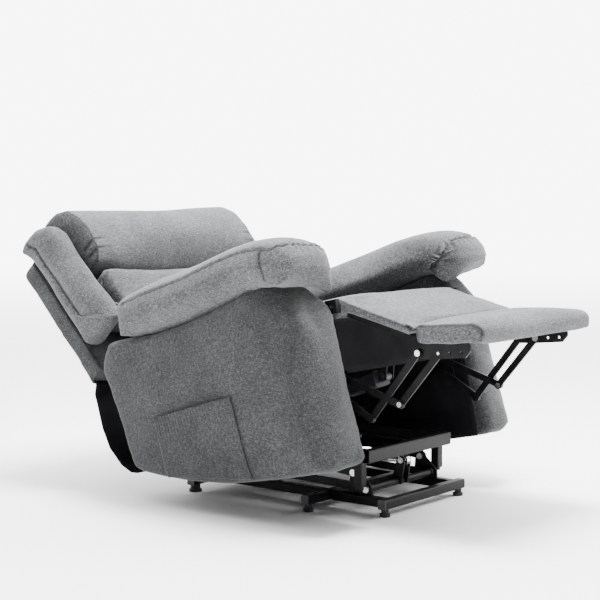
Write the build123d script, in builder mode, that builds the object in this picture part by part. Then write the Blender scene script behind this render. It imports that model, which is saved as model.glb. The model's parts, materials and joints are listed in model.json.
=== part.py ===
"""Lift recliner chair: a fabric recliner on a steel floor frame that lifts and tilts it forward.

Millimetres. X runs across the chair, the sitter looks towards -Y, Z is up from the floor.
The chair is modelled reclined: seat tipped back, back lowered, footrest out.
"""
import os
from math import cos, radians, sin

from build123d import *

os.makedirs("parts", exist_ok=True)

# Driving dimensions
FRONT_BAR_Y = -397.0
SEAT_TILT = 12.0
BACK_TILT = 44.5
TUBE = 25.0
TUBE_WALL = 2.0
RAIL_BOTTOM = 20.0
RAIL_TOP = RAIL_BOTTOM + TUBE
RAIL_INNER = 145.5
MID_BAR_Y = 195.0
REAR_BAR_Y = 607.0
OUTRIGGER_END = 264.0
FRONT_BAR_END = 187.0
FOOT_HEIGHT = 20.0
PLATE = 5.0
LINK_PLATE = 6.0
RUNNING_CLEARANCE = 0.05

# Lift linkage, in the upright side plane (distance behind the front bar, height)
LOWER_FRONT_PIVOT = (74.0, 60.0)
UPPER_FRONT_PIVOT = (112.0, 101.0)
LOWER_REAR_PIVOT = (460.0, 66.0)
UPPER_REAR_PIVOT = (580.0, 137.0)
LIFT_PIN_RADIUS = 6.0
LIFT_TUBE_Z = 137.0
LIFT_TUBE_HEIGHT = 35.0
LIFT_TUBE_INNER = 168.0
MOTOR_PIVOT = (585.0, 75.0)
CRANK_PIN = (61.5, 118.7)

# Seat body, in the tilted side plane (distance back along the seat, height square to it)
TILT_PIVOT = (340.0, 200.0)
ARM_INNER = 290.0
ARM_OUTER = 460.0
PAD_INNER = 272.0
PAD_OUTER = 474.0
SIDE_PLATE_INNER = 262.0
BACK_PIVOT_POINT = (700.0, 400.0)
CALF_HINGE = (-27.0, 558.0)
CREASE = (-249.8, 454.0)
CALF_ANGLE = 205.0
FOOT_ANGLE = 187.5
CALF_LENGTH = 245.9
FOOT_LENGTH = 200.0
CALF_HALF_WIDTH = 272.0
LINK_A_PIVOT = (120.0, 420.0)
LINK_A_ELBOW = (-65.5, 260.1)
LINK_A_END = (-239.5, 405.1)
LINK_B_PIVOT = (90.0, 420.0)
LINK_B_ELBOW = (-153.7, 285.3)
LINK_B_END = (-295.8, 396.2)
RECLINE_MOTOR_PIVOT = (50.0, 360.0)
RECLINE_ROD_POINT = (515.0, 200.0)


def tilted_side(x, degrees):
    """Side plane at x whose first axis points back and tips down by the given angle."""
    lean = radians(degrees)
    return Plane(origin=(x, FRONT_BAR_Y, 0), x_dir=(0, cos(lean), -sin(lean)), z_dir=(1, 0, 0))


def side(x):
    """Upright side plane."""
    return tilted_side(x, 0)


def body(x):
    """Side plane of the tipped seat body."""
    return tilted_side(x, SEAT_TILT)


def back(x):
    """Side plane of the reclined back."""
    return tilted_side(x, BACK_TILT)


def turned(point, degrees):
    """Coordinates of a side plane point after the plane is tipped back to upright."""
    lean = radians(degrees)
    u = point[0] * cos(lean) + point[1] * sin(lean)
    v = point[1] * cos(lean) - point[0] * sin(lean)
    return (u, v)


def along(start, degrees, distance, offset=0.0):
    """Point at a distance from start along a direction, then offset to its upper side."""
    turn = radians(degrees)
    u = start[0] + distance * cos(turn) + offset * sin(turn)
    v = start[1] + distance * sin(turn) - offset * cos(turn)
    return (u, v)


def plate(plane, points, thickness, holes=(), corner=0.0):
    """Flat plate cut to an outline, with (centre, radius) holes; thickness runs along +X."""
    with BuildPart() as made:
        with BuildSketch(plane):
            Polygon(*points, align=None)
            for centre, radius in holes:
                with Locations(centre):
                    Circle(radius, mode=Mode.SUBTRACT)
        extrude(amount=thickness)
        if corner:
            fillet(made.edges().filter_by(Axis.X).filter_by(GeomType.LINE).group_by(
                SortBy.LENGTH)[-1], corner)
    return made.part


def bar(plane, start, end, half_width, thickness, start_hole, end_hole):
    """Straight flat link with rounded ends and a hole at each end."""
    run = Vector(end[0] - start[0], end[1] - start[1])
    turn = Vector(1, 0).get_signed_angle(run, Vector(0, 0, 1))
    middle = ((start[0] + end[0]) / 2, (start[1] + end[1]) / 2)
    with BuildPart() as made:
        with BuildSketch(plane):
            with Locations(Location(middle, turn)):
                SlotCenterToCenter(run.length, 2 * half_width)
            with Locations(start):
                Circle(half_width + 2)
                Circle(start_hole, mode=Mode.SUBTRACT)
            with Locations(end):
                Circle(max(half_width + 2, end_hole + 4))
                Circle(end_hole, mode=Mode.SUBTRACT)
        extrude(amount=thickness)
    return made.part


def pin(plane_at, centre, steps):
    """Turned pin along X made of (x_start, x_end, radius) steps."""
    with BuildPart() as made:
        for x_start, x_end, radius in steps:
            with BuildSketch(plane_at(x_start)):
                with Locations(centre):
                    Circle(radius)
            extrude(amount=x_end - x_start)
    return made.part


def save(part, name):
    """Label one sub-part and write it out."""
    part.label = name
    export_step(part, f"parts/{name}.step")


def both_sides(*solids):
    """The given solids and their mirror images across the centre plane."""
    with BuildPart() as made:
        for solid in solids:
            add(solid)
        mirror(about=Plane.YZ)
    return made.part


def group(*solids):
    """Separate solids kept together in one sub-part."""
    with BuildPart() as made:
        for solid in solids:
            add(solid)
    return made.part


def square_tube(x_start, x_end, centre, width, height, plane_at=side):
    """Hollow rectangular tube along X."""
    with BuildPart() as made:
        with BuildSketch(plane_at(x_start)):
            with Locations(centre):
                RectangleRounded(width, height, 3)
                RectangleRounded(width - 2 * TUBE_WALL, height - 2 * TUBE_WALL, 1.5,
                                 mode=Mode.SUBTRACT)
        extrude(amount=x_end - x_start)
    return made.part


def long_tube(x, y_start, y_end, z, width, height):
    """Hollow rectangular tube running front to back."""
    with BuildPart() as made:
        front = Plane(origin=(x, FRONT_BAR_Y + y_start, z), x_dir=(1, 0, 0), z_dir=(0, 1, 0))
        with BuildSketch(front):
            RectangleRounded(width, height, 3)
            RectangleRounded(width - 2 * TUBE_WALL, height - 2 * TUBE_WALL, 1.5,
                             mode=Mode.SUBTRACT)
        extrude(amount=y_end - y_start)
    return made.part


def block(plane_at, x_start, x_end, low, high, corner=0.0):
    """Solid block between two corners of a side plane."""
    points = (low, (high[0], low[1]), high, (low[0], high[1]))
    return plate(plane_at(x_start), points, x_end - x_start, (), corner)


TILT_POINT = turned(TILT_PIVOT, SEAT_TILT)
BACK_PIVOT_BODY = turned(BACK_PIVOT_POINT, -SEAT_TILT)
BACK_PIVOT = turned(BACK_PIVOT_POINT, -BACK_TILT)
RECLINE_ROD_PIVOT = turned(RECLINE_ROD_POINT, -SEAT_TILT)

# ---------------------------------------------------------------- floor frame
RAIL_X = RAIL_INNER + TUBE / 2
BAR_Z = RAIL_BOTTOM + TUBE / 2
HALF = TUBE / 2

save(group(square_tube(-FRONT_BAR_END, FRONT_BAR_END, (0, BAR_Z), TUBE, TUBE),
           square_tube(-OUTRIGGER_END, OUTRIGGER_END, (MID_BAR_Y, BAR_Z), TUBE, TUBE),
           square_tube(-OUTRIGGER_END, OUTRIGGER_END, (REAR_BAR_Y, BAR_Z), TUBE, TUBE)),
     "floor_cross_bars")
save(both_sides(long_tube(RAIL_X, HALF, MID_BAR_Y - HALF, BAR_Z, TUBE, TUBE),
                long_tube(RAIL_X, MID_BAR_Y + HALF, REAR_BAR_Y - HALF, BAR_Z, TUBE, TUBE)),
     "floor_side_rails")

with BuildPart() as floor_feet:
    for foot_x, foot_y, foot_radius in ((174, 0, 14), (250, MID_BAR_Y, 14), (246, REAR_BAR_Y, 18)):
        with BuildSketch(Plane.XY):
            with Locations((foot_x, FRONT_BAR_Y + foot_y), (-foot_x, FRONT_BAR_Y + foot_y)):
                Circle(foot_radius)
        extrude(amount=8)
        with BuildSketch(Plane.XY.offset(8)):
            with Locations((foot_x, FRONT_BAR_Y + foot_y), (-foot_x, FRONT_BAR_Y + foot_y)):
                Circle(foot_radius - 4)
        extrude(amount=FOOT_HEIGHT - 8)
save(floor_feet.part, "floor_feet")

with BuildPart() as tube_end_caps:
    for cap_x, cap_y in ((FRONT_BAR_END, 0), (OUTRIGGER_END, MID_BAR_Y), (OUTRIGGER_END, REAR_BAR_Y)):
        with BuildSketch(side(cap_x)):
            with Locations((cap_y, BAR_Z)):
                RectangleRounded(TUBE, TUBE, 3)
        extrude(amount=2.5)
    mirror(about=Plane.YZ)
save(tube_end_caps.part, "tube_end_caps")

STANCHION_X = 150.0
stanchion_outline = ((56, RAIL_TOP), (132, RAIL_TOP), (128, 106), (120, 117), (104, 117),
                     (92, 100), (60, 72), (56, 66))
save(both_sides(plate(side(STANCHION_X), stanchion_outline, PLATE,
                      ((LOWER_FRONT_PIVOT, LIFT_PIN_RADIUS), (UPPER_FRONT_PIVOT, LIFT_PIN_RADIUS)))),
     "lift_stanchions")
stanchion_bolts = both_sides(
    pin(side, LOWER_FRONT_PIVOT, ((138.5, 155, LIFT_PIN_RADIUS), (155, 160, 10))),
    pin(side, UPPER_FRONT_PIVOT, ((145.5, 150, 9), (150, 163.5, LIFT_PIN_RADIUS), (163.5, 167, 9))))
motor_pin = pin(side, MOTOR_PIVOT, ((-23, -20, 8), (-20, 20, 5), (20, 23, 8)))
save(group(stanchion_bolts, motor_pin), "floor_frame_pivot_bolts")

bracket_outline = ((573, 66), (578, 58), (596, RAIL_TOP), (619, RAIL_TOP), (619, 62), (598, 84),
                   (588, 88), (576, 86), (572, 78))
save(both_sides(plate(side(16), bracket_outline, 4, ((MOTOR_PIVOT, 5),))), "lift_motor_bracket")

# ---------------------------------------------------------------- lower lift arms
LOWER_LINK_X = 138.0
PIN_HOLE = LIFT_PIN_RADIUS + RUNNING_CLEARANCE
save(both_sides(bar(side(LOWER_LINK_X), LOWER_FRONT_PIVOT, LOWER_REAR_PIVOT, 10.5, LINK_PLATE,
                    PIN_HOLE, PIN_HOLE)), "lower_lift_links")

with BuildPart() as lift_cross_tube:
    with BuildSketch(side(-LOWER_LINK_X)):
        with Locations(LOWER_FRONT_PIVOT):
            Circle(10)
            Circle(7.5, mode=Mode.SUBTRACT)
    extrude(amount=2 * LOWER_LINK_X)
save(lift_cross_tube.part, "lift_cross_tube")

with BuildPart() as lift_crank:
    with BuildSketch(side(11)):
        with BuildLine():
            Polyline((61, 53), (87, 53), (90, 66), (74, 123), (62, 131), (50, 124), (50, 110), (58, 67),
                     close=True)
        make_face()
        with Locations(LOWER_FRONT_PIVOT):
            Circle(10, mode=Mode.SUBTRACT)
        with Locations(CRANK_PIN):
            Circle(5, mode=Mode.SUBTRACT)
    extrude(amount=5)
    mirror(about=Plane.YZ)
save(lift_crank.part, "lift_crank_plates")
save(pin(side, CRANK_PIN, ((-19, -16, 8), (-16, 16, 5), (16, 19, 8))), "lift_crank_pin")

# ---------------------------------------------------------------- upper lift links
save(both_sides(bar(side(157), UPPER_FRONT_PIVOT, UPPER_REAR_PIVOT, 10.5, LINK_PLATE,
                    PIN_HOLE, 9.5)), "upper_lift_links")

# ---------------------------------------------------------------- lift frame
LIFT_TUBE_X = LIFT_TUBE_INNER + HALF
TUBE_MID_Z = LIFT_TUBE_Z + LIFT_TUBE_HEIGHT / 2
save(group(square_tube(-LIFT_TUBE_INNER - TUBE, LIFT_TUBE_INNER + TUBE, (50, TUBE_MID_Z), TUBE,
                       LIFT_TUBE_HEIGHT),
           square_tube(-LIFT_TUBE_INNER, LIFT_TUBE_INNER, (515, 157), 30, 26)),
     "lift_frame_cross_tubes")
save(both_sides(long_tube(LIFT_TUBE_X, 62.5, 630, TUBE_MID_Z, TUBE, LIFT_TUBE_HEIGHT)),
     "lift_frame_side_tubes")

with BuildPart() as lift_frame_posts:
    with BuildSketch(Plane.XY.offset(70)):
        with Locations((LIFT_TUBE_X, FRONT_BAR_Y + 76)):
            RectangleRounded(TUBE, TUBE, 3)
    extrude(amount=LIFT_TUBE_Z - 70)
    with BuildSketch(Plane.XY.offset(62)):
        with Locations((LIFT_TUBE_X, FRONT_BAR_Y + 76)):
            Circle(10)
    extrude(amount=8)
    mirror(about=Plane.YZ)
save(lift_frame_posts.part, "lift_frame_posts")

rear_plate_outline = ((448, 56), (472, 56), (592, 124), (594, 150), (530, 150), (530, 144),
                      (500, 144), (500, 150), (488, 150), (448, 80))
save(both_sides(plate(side(STANCHION_X), rear_plate_outline, PLATE,
                      ((LOWER_REAR_PIVOT, LIFT_PIN_RADIUS), (UPPER_REAR_PIVOT, LIFT_PIN_RADIUS)))),
     "lift_frame_rear_plates")
hanger_outline = ((350, 172), (398, 172), (398, 137), (386, 112), (374, 108), (362, 112), (350, 137))
rod_bracket_outline = ((500, 170), (530, 170), (530, 196), (524, 208), (506, 208), (500, 196))
save(both_sides(plate(side(193), hanger_outline, PLATE, ((TILT_POINT, 7),)),
                plate(side(9), rod_bracket_outline, 4, ((RECLINE_ROD_POINT, 5),))),
     "lift_frame_brackets")
rear_bolts = both_sides(
    pin(side, LOWER_REAR_PIVOT, ((133, 137.5, 9), (137.5, 155, LIFT_PIN_RADIUS))),
    pin(side, UPPER_REAR_PIVOT, ((145.5, 150, 9), (150, 163.5, LIFT_PIN_RADIUS), (163.5, 167.5, 12))),
    pin(side, TILT_POINT, ((194, 206.5, 7), (206.5, 211, 11))))
rod_pin = pin(side, RECLINE_ROD_POINT, ((-16, -13, 8), (-13, 13, 5), (13, 16, 8)))
save(group(rear_bolts, rod_pin), "lift_frame_pivot_bolts")


# ---------------------------------------------------------------- actuators
def actuator(plane_at, rear, front, housing_length, tube_length, eye_radius, rod_name, tube_name,
             housing_name):
    """Linear actuator from its motor pivot to the eye at the end of its rod, on the centre plane."""
    run = Vector(front[0] - rear[0], front[1] - rear[1])
    plane = plane_at(0)
    direction = (plane.x_dir * run.X + plane.y_dir * run.Y).normalized()
    start = plane.from_local_coords(Vector(rear[0], rear[1], 0))
    tip = plane.from_local_coords(Vector(front[0], front[1], 0))

    def across(distance):
        return Plane(origin=start + direction * distance, x_dir=(1, 0, 0), z_dir=direction)

    with BuildPart() as housing:
        with BuildSketch(across(22)):
            RectangleRounded(52, 46, 8)
        extrude(amount=housing_length - 22)
        with BuildSketch(across(30)):
            with Locations((34, 0)):
                RectangleRounded(40, 40, 10)
        extrude(amount=housing_length - 50)
        with BuildSketch(Plane(origin=start, x_dir=direction, z_dir=(1, 0, 0)).offset(-12)):
            with Locations((11, 0)):
                Rectangle(24, 24)
            Circle(12)
            Circle(5 + RUNNING_CLEARANCE, mode=Mode.SUBTRACT)
        extrude(amount=24)
    save(housing.part, housing_name)

    with BuildPart() as tube:
        with BuildSketch(across(housing_length)):
            Circle(16)
            Circle(8 + RUNNING_CLEARANCE, mode=Mode.SUBTRACT)
        extrude(amount=tube_length)
    save(tube.part, tube_name)

    with BuildPart() as rod:
        rod_start = housing_length + 6
        with BuildSketch(across(rod_start)):
            Circle(8)
        extrude(amount=run.length - rod_start - eye_radius)
        with BuildSketch(Plane(origin=tip, x_dir=direction, z_dir=(1, 0, 0)).offset(-7)):
            Circle(eye_radius + 5.5)
            Circle(eye_radius, mode=Mode.SUBTRACT)
        extrude(amount=14)
    save(rod.part, rod_name)


actuator(side, MOTOR_PIVOT, CRANK_PIN, 165, 240, 10.5, "lift_actuator_rod", "lift_actuator_tube",
         "lift_motor_housing")
actuator(body, RECLINE_MOTOR_PIVOT, RECLINE_ROD_PIVOT, 140, 170, 7.0, "recline_actuator_rod",
         "recline_actuator_tube", "recline_motor_housing")

# ---------------------------------------------------------------- seat body frame
side_plate_outline = ((4, 300), (322, 300), (322, 255), (358, 255), (358, 300), (560, 300),
                      (600, 330), (616, 537), (604, 551), (588, 545), (560, 436), (70, 436), (4, 380))
save(both_sides(plate(body(SIDE_PLATE_INNER), side_plate_outline, PLATE,
                      ((LINK_A_PIVOT, 5 + RUNNING_CLEARANCE), (BACK_PIVOT_BODY, 6)))),
     "seat_side_plates")
save(group(square_tube(-SIDE_PLATE_INNER, SIDE_PLATE_INNER, (340, 268), TUBE, TUBE, body),
           square_tube(-SIDE_PLATE_INNER, SIDE_PLATE_INNER, (560, 324), TUBE, TUBE, body)),
     "seat_cross_tubes")
tilt_bracket_outline = ((318, 255.5), (362, 255.5), (362, 236), (352, 188), (340, 183), (328, 188),
                        (318, 236))
motor_bracket_outline = ((22, 392), (22, 430), (34, 430), (62, 374), (62, 353), (50, 347), (38, 351),
                         (30, 380))
calf_block_outline = ((-45, 540), (-9, 540), (-9, 576), (-45, 576))
save(both_sides(plate(body(200), tilt_bracket_outline, PLATE, ((TILT_PIVOT, 7 + RUNNING_CLEARANCE),)),
                plate(body(14), motor_bracket_outline, 4, ((RECLINE_MOTOR_PIVOT, 5),)),
                plate(body(274.5), calf_block_outline, 15.5, ((CALF_HINGE, 4 + RUNNING_CLEARANCE),))),
     "seat_frame_brackets")
seat_bolts = both_sides(pin(body, LINK_B_PIVOT, ((236.5, 237.3, 7), (237.3, 262, 4))),
                        pin(body, BACK_PIVOT_BODY, ((262, 276.5, 6), (276.5, 281, 10))))
recline_pin = pin(body, RECLINE_MOTOR_PIVOT, ((-21, -18, 8), (-18, 18, 5), (18, 21, 8)))
save(group(seat_bolts, recline_pin), "seat_frame_pivot_bolts")
arm_rails = both_sides(block(body, SIDE_PLATE_INNER + PLATE, ARM_INNER, (60, 330), (520, 360)))
save(group(arm_rails, block(body, -228, 228, (4, 385), (22, 436.5)),
           block(body, -ARM_INNER, ARM_INNER, (612, 200), (640, 236))), "seat_wood_rails")
save(block(body, -SIDE_PLATE_INNER, SIDE_PLATE_INNER, (4, 436.5), (478, 450)), "seat_deck")
save(block(body, -200, -70, (220, 396), (330, 436.5), 3), "control_box")
save(block(body, 70, 200, (215, 396), (345, 436.5), 3), "power_supply")

# ---------------------------------------------------------------- arms
arm_outline = ((-72, 165), (-52, 146), (230, 144), (317, 152), (406, 164), (514, 186), (605, 212),
               (617, 230), (687, 511), (655, 557), (642, 578), (573, 577), (453, 577), (307, 594),
               (163, 616), (66, 634), (30, 630), (2, 604), (-22, 572), (-38, 540))
for side_name, x_start in (("right", -ARM_OUTER), ("left", ARM_INNER)):
    with BuildPart() as arm_panel:
        with BuildSketch(body(x_start)):
            Polygon(*arm_outline, align=None)
        extrude(amount=ARM_OUTER - ARM_INNER)
        front_edges = arm_panel.edges().filter_by(Axis.X, reverse=True).sort_by(
            Axis((0, FRONT_BAR_Y, 0), (0, cos(radians(SEAT_TILT)), -sin(radians(SEAT_TILT)))))
        outer = -ARM_OUTER if side_name == "right" else ARM_OUTER
        fillet([edge for edge in front_edges if edge.length > 300 and abs(edge.center().X - outer) < 1
                and edge.center().Y < FRONT_BAR_Y + 150 and edge.center().Z > 200], 34)
    save(arm_panel.part, f"{side_name}_arm_panel")

pad_outline = ((580, 580), (453, 578), (307, 595), (163, 617), (66, 635), (30, 632), (4, 614),
               (-24, 600), (-50, 604), (-70, 624), (-78, 656), (-72, 694), (-52, 724), (-16, 746),
               (30, 759), (75, 763), (113, 763), (180, 756), (315, 732), (470, 715), (560, 700), (580, 690))
for side_name, x_start in (("right", -PAD_OUTER), ("left", PAD_INNER)):
    with BuildPart() as arm_pad:
        with BuildSketch(body(x_start)):
            Polygon(*pad_outline, align=None)
        extrude(amount=PAD_OUTER - PAD_INNER)
    save(arm_pad.part, f"{side_name}_arm_pad")

pocket_outline = ((184, 150), (480, 182), (484, 351), (204, 374.5))
pocket_hollow = ((189, 158), (476, 188), (480, 356), (209, 380))
with BuildPart() as side_pocket:
    with BuildSketch(body(-ARM_OUTER - 16)):
        Polygon(*pocket_outline, align=None)
    extrude(amount=16)
    with BuildSketch(body(-ARM_OUTER - 13)):
        Polygon(*pocket_hollow, align=None)
    extrude(amount=13, mode=Mode.SUBTRACT)
save(side_pocket.part, "side_pocket")

# ---------------------------------------------------------------- seat and back cushions
save(plate(body(-258), ((3, 450), (482, 450), (536, 562), (520, 580), (300, 588), (40, 592), (10, 582),
                        (3, 560)), 516), "seat_cushion")
save(plate(back(-420), ((320, 800), (404, 800), (404, 1218), (390, 1235), (320, 1235)), 840),
     "back_shell")
back_bracket_outline = ((204, 764), (222, 758), (320, 806), (320, 892), (302, 892), (204, 790))
save(both_sides(plate(back(271), back_bracket_outline, PLATE, ((BACK_PIVOT, 6 + RUNNING_CLEARANCE),)),
                block(back, 276, 310, (315, 812), (320, 888))), "back_brackets")
save(plate(back(-258), ((170, 664), (300, 664), (320, 800), (320, 898), (170, 898)), 516, (), 14),
     "lower_back_cushion")
save(plate(back(-350), ((180, 902), (320, 902), (320, 1070), (190, 1070), (168, 1050), (168, 930)), 700,
           ()), "lumbar_cushion")
save(plate(back(-353), ((320, 1074), (320, 1306), (270, 1322), (215, 1316), (172, 1290), (146, 1236),
                        (138, 1176), (148, 1110), (176, 1078)), 706), "head_roll")
for side_name, x_start in (("right", -440), ("left", 355)):
    wing_outline = ((195, 880), (320, 880), (320, 1236), (330, 1272), (306, 1292), (250, 1284),
                    (206, 1254), (190, 1210))
    save(plate(back(x_start), wing_outline, 85), f"{side_name}_wing")

with BuildPart() as rear_dust_cover:
    with BuildSketch(body(-415)):
        with BuildLine():
            Polyline((640, 204), (664, 208), (700, 232), (736, 284), (752, 342), (758, 400), (759, 452),
                     (755, 452), (754, 400), (748, 343), (732, 286), (697, 236), (662, 213), (640, 209),
                     close=True)
        make_face()
    extrude(amount=830)
save(rear_dust_cover.part, "rear_dust_cover")

# ---------------------------------------------------------------- footrest
def calf(distance, offset):
    """Point on the calf board line."""
    return along(CALF_HINGE, CALF_ANGLE, distance, offset)


def foot(distance, offset):
    """Point on the footrest board line."""
    return along(CREASE, FOOT_ANGLE, distance, offset)


EAR_HOLE = 3 + RUNNING_CLEARANCE
with BuildPart() as calf_pad:
    with BuildSketch(body(-CALF_HALF_WIDTH)):
        Polygon(calf(0, -8), calf(CALF_LENGTH - 8, -8), calf(CALF_LENGTH - 8, 12),
                calf(CALF_LENGTH - 14, 20), calf(0, 25), align=None)
        with Locations(CALF_HINGE):
            Circle(25)
            Circle(4, mode=Mode.SUBTRACT)
    extrude(amount=2 * CALF_HALF_WIDTH)
save(calf_pad.part, "calf_pad")
save(group(pin(body, CALF_HINGE, ((-288, 288, 4),)), pin(body, CREASE, ((-220, 220, 3),))),
     "footrest_hinge_rods")
save(plate(body(-255), (calf(30, -20), calf(CALF_LENGTH - 11, -20), calf(CALF_LENGTH - 11, -8),
                        calf(30, -8)), 510), "calf_board")
calf_ear = (calf(CALF_LENGTH - 50, -25), calf(CALF_LENGTH + 2, -25), calf(CALF_LENGTH + 5, 2),
            calf(CALF_LENGTH - 4, 5), calf(CALF_LENGTH - 8, -2), calf(CALF_LENGTH - 8, -20),
            calf(CALF_LENGTH - 50, -20))
save(both_sides(plate(body(205), calf_ear, 4, ((CREASE, 3),))), "calf_hinge_ears")
save(plate(body(-CALF_HALF_WIDTH), (foot(8, -14), foot(8, 20), foot(16, 26), foot(FOOT_LENGTH - 24, 26),
                                    foot(FOOT_LENGTH - 4, 12), foot(FOOT_LENGTH, 0),
                                    foot(FOOT_LENGTH - 6, -14)), 2 * CALF_HALF_WIDTH), "footrest_pad")
save(plate(body(-255), (foot(11, -26), foot(FOOT_LENGTH - 12, -26), foot(FOOT_LENGTH - 12, -14),
                        foot(11, -14)), 510), "footrest_board")
foot_ear = (foot(-5, -2), foot(-2, -31), foot(46, -31), foot(46, -26), foot(8, -26), foot(8, -3),
            foot(4, 4), foot(-3, 5))
bracket_line = ((-222, 418), (-226, 392), (-296, 382), (-372, 374), (-390, 388), (-392, 398),
                foot(140, -26), foot(20, -26))
save(both_sides(plate(body(211), foot_ear, 4, ((CREASE, EAR_HOLE),)),
                plate(body(237.5), bracket_line, PLATE, ((LINK_A_END, 3.5), (LINK_B_END, 3.5),
                                                         ((-330, 392), 4), ((-364, 388), 4)))),
     "footrest_brackets")
save(both_sides(pin(body, LINK_A_END, ((237.5, 249.3, 3.5), (249.3, 250.3, 8))),
                pin(body, LINK_B_END, ((229.5, 230.7, 9), (230.7, 242.5, 3.5)))), "footrest_link_pins")
HOLE = 4 + RUNNING_CLEARANCE
save(both_sides(bar(body(250.5), LINK_A_PIVOT, LINK_A_ELBOW, 9, PLATE, 5, 4)), "footrest_drive_links")
drive_rivets = both_sides(
    pin(body, LINK_A_ELBOW, ((243.1, 243.9, 7), (243.9, 255.5, 4), (255.5, 257.5, 7))))
drive_shaft = pin(body, LINK_A_PIVOT, ((-267, -250.5, 5), (-250.5, 250.5, 8), (250.5, 267, 5)))
save(group(drive_rivets, drive_shaft), "footrest_drive_shaft")
save(both_sides(bar(body(244), LINK_A_ELBOW, LINK_A_END, 9, PLATE, HOLE, 6.5)), "footrest_rear_links")
save(both_sides(bar(body(237.5), LINK_B_PIVOT, LINK_B_ELBOW, 9, PLATE, HOLE, 4)), "footrest_swing_links")
save(both_sides(pin(body, LINK_B_ELBOW, ((229.5, 230.7, 7), (230.7, 242.5, 4), (242.5, 243.3, 7)))),
     "swing_link_rivets")
save(both_sides(bar(body(231), LINK_B_ELBOW, LINK_B_END, 9, PLATE, HOLE, 7.5)), "footrest_front_links")
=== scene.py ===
"""Looks for the lift recliner: upholstery, materials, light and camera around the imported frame."""
import json
import math

import bmesh
import bpy
import numpy as np
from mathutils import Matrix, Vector, noise
from mathutils.kdtree import KDTree


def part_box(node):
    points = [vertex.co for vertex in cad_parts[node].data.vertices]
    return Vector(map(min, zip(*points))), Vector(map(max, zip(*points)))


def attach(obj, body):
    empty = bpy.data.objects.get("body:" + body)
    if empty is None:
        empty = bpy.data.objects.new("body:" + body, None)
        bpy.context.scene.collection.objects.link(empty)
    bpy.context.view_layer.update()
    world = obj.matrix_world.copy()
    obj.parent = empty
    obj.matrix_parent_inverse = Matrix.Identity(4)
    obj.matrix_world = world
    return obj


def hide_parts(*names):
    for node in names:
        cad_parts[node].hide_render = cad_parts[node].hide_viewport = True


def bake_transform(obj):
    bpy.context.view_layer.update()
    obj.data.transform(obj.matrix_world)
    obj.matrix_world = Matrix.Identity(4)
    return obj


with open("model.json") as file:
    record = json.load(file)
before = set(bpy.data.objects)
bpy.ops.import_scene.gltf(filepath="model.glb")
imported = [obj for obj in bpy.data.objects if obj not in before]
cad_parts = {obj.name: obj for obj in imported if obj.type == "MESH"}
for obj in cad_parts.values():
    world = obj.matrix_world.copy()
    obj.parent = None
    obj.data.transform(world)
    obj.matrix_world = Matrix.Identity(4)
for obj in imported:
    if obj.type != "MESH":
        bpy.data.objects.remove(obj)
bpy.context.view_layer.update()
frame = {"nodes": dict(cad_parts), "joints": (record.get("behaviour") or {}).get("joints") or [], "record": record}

SEAT_TILT = math.radians(12.0)
BACK_TILT = math.radians(44.5)
BAR_HALF_DEPTH = 0.0125
ORIGIN_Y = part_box("floor_cross_bars")[0].y + BAR_HALF_DEPTH
UP = Vector((0, math.sin(SEAT_TILT), math.cos(SEAT_TILT)))
REARWARD = Vector((0, math.cos(SEAT_TILT), -math.sin(SEAT_TILT)))
BACK_UP = Vector((0, math.sin(BACK_TILT), math.cos(BACK_TILT)))
BACK_REAR = Vector((0, math.cos(BACK_TILT), -math.sin(BACK_TILT)))


# ---------------------------------------------------------------- small helpers
def frame_point(x, back, up, rearward=REARWARD, upward=UP):
    """Point from distances along a tilted side plane, measured from the front bar on the floor."""
    return Vector((x, ORIGIN_Y, 0)) + rearward * back + upward * up


def side_coords(co, rearward=REARWARD, upward=UP):
    """Distances (back, up) in a tilted side plane for an array of points."""
    local = co - np.array((0, ORIGIN_Y, 0))
    return local @ np.array(rearward), local @ np.array(upward)


def coords(mesh):
    """Vertex positions as an array."""
    co = np.empty(len(mesh.vertices) * 3)
    mesh.vertices.foreach_get("co", co)
    return co.reshape(-1, 3)


def normals(mesh):
    """Vertex normals as an array."""
    out = np.empty(len(mesh.vertices) * 3)
    mesh.vertices.foreach_get("normal", out)
    return out.reshape(-1, 3)


def set_coords(mesh, co):
    """Writes vertex positions back."""
    mesh.vertices.foreach_set("co", np.ascontiguousarray(co).ravel())
    mesh.update()


def new_object(name, mesh):
    """Links a mesh into the scene as an object."""
    obj = bpy.data.objects.new(name, mesh)
    bpy.context.scene.collection.objects.link(obj)
    return obj


def bake_modifiers(obj):
    """Replaces the mesh with its evaluated one and drops the modifiers."""
    dg = bpy.context.evaluated_depsgraph_get()
    mesh = bpy.data.meshes.new_from_object(obj.evaluated_get(dg), preserve_all_data_layers=True,
                                           depsgraph=dg)
    obj.modifiers.clear()
    obj.data = mesh
    return obj


def shade_smooth(obj):
    """Smooth shading on every face."""
    obj.data.polygons.foreach_set("use_smooth", [True] * len(obj.data.polygons))
    obj.data.update()


def outline_segments(node, keep):
    """Side profile of an extruded CAD node: segments in Y and Z whose outward normal passes keep()."""
    mesh = frame["nodes"][node].data
    co = coords(mesh)
    low = co[:, 0].min()
    found = {}
    for face in mesh.polygons:
        if abs(face.normal.x) > 0.3 or not keep(face.normal):
            continue
        ring = list(face.vertices)
        for a, b in zip(ring, ring[1:] + ring[:1]):
            if abs(co[a][0] - low) < 1e-4 and abs(co[b][0] - low) < 1e-4:
                key = tuple(sorted((tuple(co[a][1:].round(5)), tuple(co[b][1:].round(5)))))
                if key[0] != key[1]:
                    found[key] = tuple(face.normal[1:])
    return [(np.array(a), np.array(b), np.array(n)) for (a, b), n in found.items()]


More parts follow.
